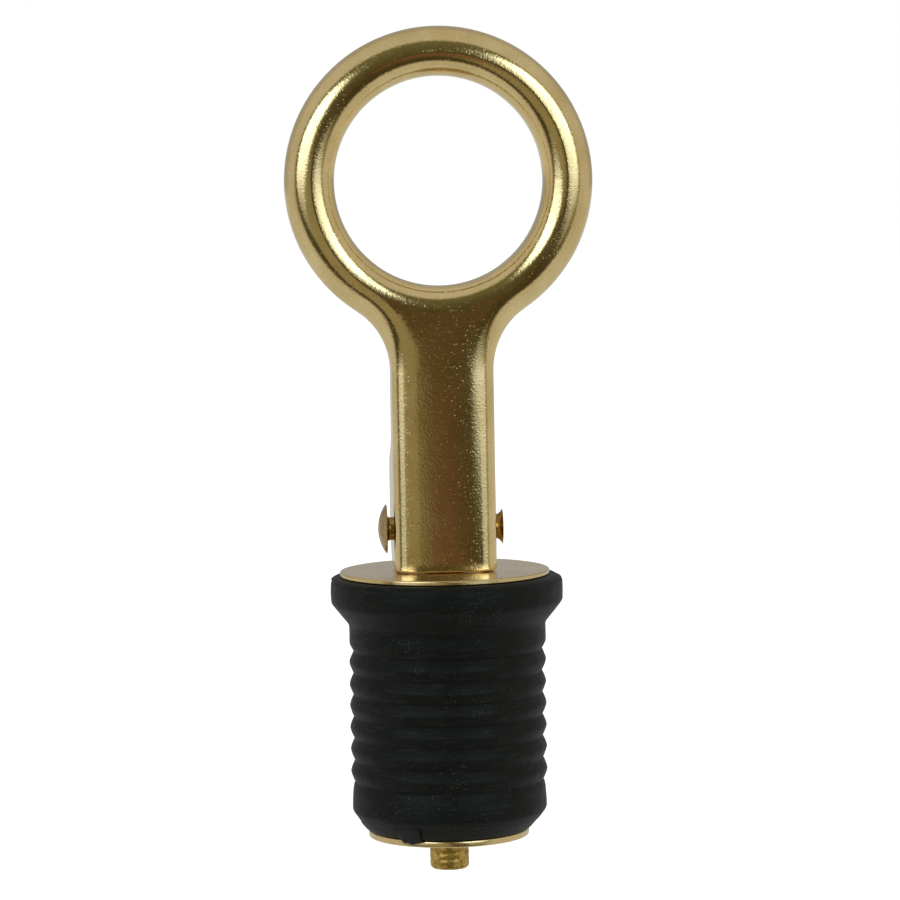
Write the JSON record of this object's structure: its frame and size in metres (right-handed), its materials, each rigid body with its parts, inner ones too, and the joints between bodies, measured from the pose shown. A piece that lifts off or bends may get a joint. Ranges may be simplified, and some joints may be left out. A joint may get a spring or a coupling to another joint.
{
  "type": "snap handle drain plug",
  "caption": "Expanding rubber drain plug for a boat: folding the ring handle's cam ears squeezes a ribbed rubber body so that it seals the drain tube.",
  "frame": {"origin": "tube seat: the point on the plug's axis where the conical seat under the flange meets the straight land that goes into the drain tube", "axes": "+Z along the plug's axis, out of the tube and towards the ring; +X along the rivet, towards its flared tail; -Y towards the handle's closed front, so that the handle folds towards +Y"},
  "size_m": [0.0392, 0.0298, 0.1082],
  "materials": {
    "rubber": "matt moulded rubber with fine scuffs",
    "washer_brass": "stamped, smooth",
    "plate_brass": "stamped, smooth",
    "bolt_brass": "rolled thread, dull with brown spots",
    "rivet_brass": "smooth, tarnished brown on the shank",
    "handle_brass": "polished, with fine pits"
  },
  "bodies": {
    "plug": {"rubber_plug": "rubber"},
    "plate": {"bottom_plate": "plate_brass"},
    "washer": {"top_washer": "washer_brass"},
    "bolt": {"eye_bolt": "bolt_brass"},
    "lever": {"handle": "handle_brass", "rivet": "rivet_brass"}
  },
  "joints": [
    {"name": "plate_lift", "type": "slide", "parent": "plug", "child": "plate", "axis": [0, 0, 1], "range_m": [0, 0.0026], "deforming": ["rubber_plug"]},
    {"name": "adjusting_turn", "type": "hinge", "parent": "plug", "child": "washer", "pos_m": [0, 0, 0], "axis": [0, 0, 1], "range_deg": [-360, 360]},
    {"name": "bolt_lift", "type": "slide", "parent": "washer", "child": "bolt", "axis": [0, 0, 1], "range_m": [0, 0.0026]},
    {"name": "handle_fold", "type": "hinge", "parent": "bolt", "child": "lever", "pos_m": [0, 0, 0.01235], "axis": [-1, 0, 0], "range_deg": [0, 90]}
  ],
  "couplings": [
    {"joint": "plate_lift", "follows": "handle_fold", "m_per_rad": 0.0016552},
    {"joint": "bolt_lift", "follows": "handle_fold", "m_per_rad": 0.0016552}
  ]
}
